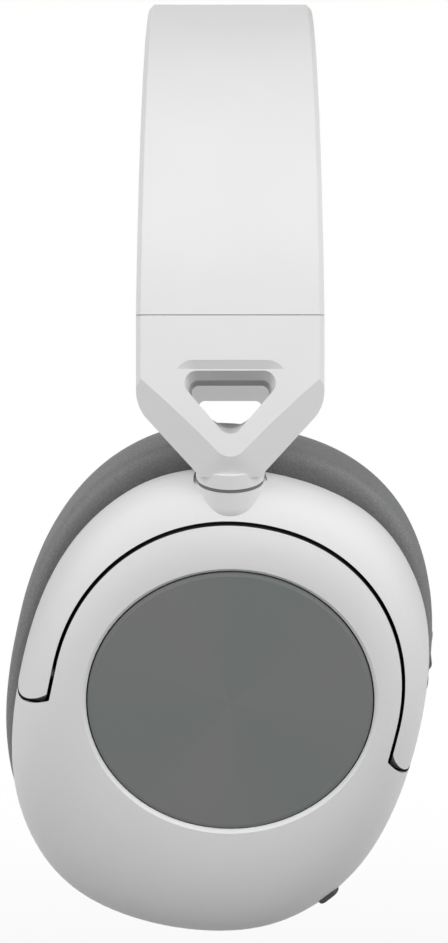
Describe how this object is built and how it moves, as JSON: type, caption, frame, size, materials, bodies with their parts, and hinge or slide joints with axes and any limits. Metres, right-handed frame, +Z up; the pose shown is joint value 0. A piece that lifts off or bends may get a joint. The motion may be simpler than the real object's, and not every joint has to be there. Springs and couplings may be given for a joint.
{
  "type": "gaming headset",
  "caption": "Wireless over-ear headset: arched band with cushion, sliding end blocks, forks that swivel and tilt the cups, oval ear pads, boom microphone, volume wheel and buttons.",
  "frame": {"origin": "the point where the crown of the head touches the headband cushion", "axes": "+Z up; the wearer faces -Y; the left ear cup is on +X and the right ear cup on -X"},
  "size_m": [0.149, 0.1007, 0.2088],
  "materials": {
    "headband_shell": "white, fine satin",
    "cup_white": "white, fine satin",
    "white_fork": "white, satin",
    "spring_steel": "brushed",
    "slider_steel": "brushed, notched edges",
    "dark_plastic": "matt charcoal",
    "plate_grey": "grey, spun satin",
    "screw_steel": "zinc plated",
    "pin_steel": "ground",
    "washer_polymer": "grey low-friction polymer",
    "lead_rubber": "smooth black",
    "pad_leather": "soft grey artificial leather",
    "cushion_leather": "soft grey artificial leather",
    "speaker_fabric": "thin black mesh cloth",
    "mic_foam": "black open-cell foam",
    "magnet_metal": "nickel plated",
    "diaphragm_film": "thin polymer film",
    "contact_metal": "tin plated",
    "board_green": "solder resist",
    "light_lens": "clear lens",
    "battery_wrap": "foil pouch"
  },
  "bodies": {
    "headband": {"headband_outer_cover": "headband_shell", "headband_inner_cover": "cup_white", "spring_band": "spring_steel", "headband_lead": "lead_rubber", "head_cushion": "cushion_leather", "slider_guide_left": "dark_plastic", "slider_guide_right": "dark_plastic"},
    "slider_left": {"slider_strip_left": "slider_steel", "end_block_left": "headband_shell", "end_block_lid_left": "cup_white", "end_block_screws_left": "screw_steel", "swivel_washer_left": "washer_polymer", "swivel_pin_left": "pin_steel", "swivel_clip_left": "pin_steel"},
    "yoke_left": {"fork_left": "white_fork", "tilt_pins_left": "pin_steel"},
    "cup_left": {"cup_shell_left": "cup_white", "side_plate_left": "plate_grey", "baffle_left": "dark_plastic", "driver_frame_left": "dark_plastic", "driver_magnet_left": "magnet_metal", "diaphragm_left": "diaphragm_film", "speaker_cloth_left": "speaker_fabric", "ear_pad_left": "pad_leather", "cup_screws_left": "screw_steel", "circuit_board": "board_green", "usb_c_port": "contact_metal", "audio_socket": "dark_plastic", "status_light": "light_lens", "volume_encoder": "dark_plastic"},
    "slider_right": {"slider_strip_right": "slider_steel", "end_block_right": "headband_shell", "end_block_lid_right": "cup_white", "end_block_screws_right": "screw_steel", "swivel_washer_right": "washer_polymer", "swivel_pin_right": "pin_steel", "swivel_clip_right": "pin_steel"},
    "yoke_right": {"fork_right": "white_fork", "tilt_pins_right": "pin_steel"},
    "cup_right": {"cup_shell_right": "cup_white", "side_plate_right": "plate_grey", "baffle_right": "dark_plastic", "driver_frame_right": "dark_plastic", "driver_magnet_right": "magnet_metal", "diaphragm_right": "diaphragm_film", "speaker_cloth_right": "speaker_fabric", "ear_pad_right": "pad_leather", "cup_screws_right": "screw_steel", "battery": "battery_wrap"},
    "volume_wheel": {"volume_wheel": "dark_plastic"},
    "mute_button": {"mute_button": "dark_plastic"},
    "power_button": {"power_button": "dark_plastic"},
    "preset_button": {"preset_button": "dark_plastic"},
    "mic_boom": {"mic_hub": "cup_white", "mic_hub_pin": "pin_steel", "boom_arm": "dark_plastic", "mic_capsule": "dark_plastic", "mic_foam": "mic_foam"}
  },
  "joints": [
    {"name": "slider_left_slide", "type": "slide", "parent": "headband", "child": "slider_left", "axis": [0.1736, 0, -0.9848], "range_m": [0, 0.02]},
    {"name": "yoke_left_swivel", "type": "hinge", "parent": "slider_left", "child": "yoke_left", "pos_m": [0.06326, 0, -0.08916], "axis": [0.3746, 0, 0.9272], "range_deg": [-15, 20]},
    {"name": "cup_left_tilt", "type": "hinge", "parent": "yoke_left", "child": "cup_left", "pos_m": [0.04561, 0.00083, -0.13737], "axis": [-0.0779, -0.9781, -0.1928], "range_deg": [0, 10]},
    {"name": "slider_right_slide", "type": "slide", "parent": "headband", "child": "slider_right", "axis": [-0.1736, 0, -0.9848], "range_m": [0, 0.02]},
    {"name": "yoke_right_swivel", "type": "hinge", "parent": "slider_right", "child": "yoke_right", "pos_m": [-0.06326, 0, -0.08916], "axis": [-0.3746, 0, 0.9272], "range_deg": [-20, 15]},
    {"name": "cup_right_tilt", "type": "hinge", "parent": "yoke_right", "child": "cup_right", "pos_m": [-0.04561, 0.00083, -0.13737], "axis": [-0.0779, 0.9781, 0.1928], "range_deg": [0, 10]},
    {"name": "volume_wheel_turn", "type": "hinge", "parent": "cup_left", "child": "volume_wheel", "pos_m": [0.03948, 0.04045, -0.1475], "axis": [0.9272, 0, -0.3746], "continuous": true},
    {"name": "mute_button_press", "type": "slide", "parent": "cup_left", "child": "mute_button", "axis": [0.108, -0.9575, 0.2673], "range_m": [0, 0.0006], "stiffness_N_per_m": 800},
    {"name": "power_button_press", "type": "slide", "parent": "cup_left", "child": "power_button", "axis": [0.2243, -0.801, 0.5551], "range_m": [0, 0.0006], "stiffness_N_per_m": 800},
    {"name": "preset_button_press", "type": "slide", "parent": "cup_right", "child": "preset_button", "axis": [-0.279, 0.6672, 0.6906], "range_m": [0, 0.0006], "stiffness_N_per_m": 800},
    {"name": "mic_boom_swing", "type": "hinge", "parent": "cup_left", "child": "mic_boom", "pos_m": [0.03973, -0.02604, -0.16982], "axis": [0.9272, 0, -0.3746], "range_deg": [0, 120]}
  ]
}
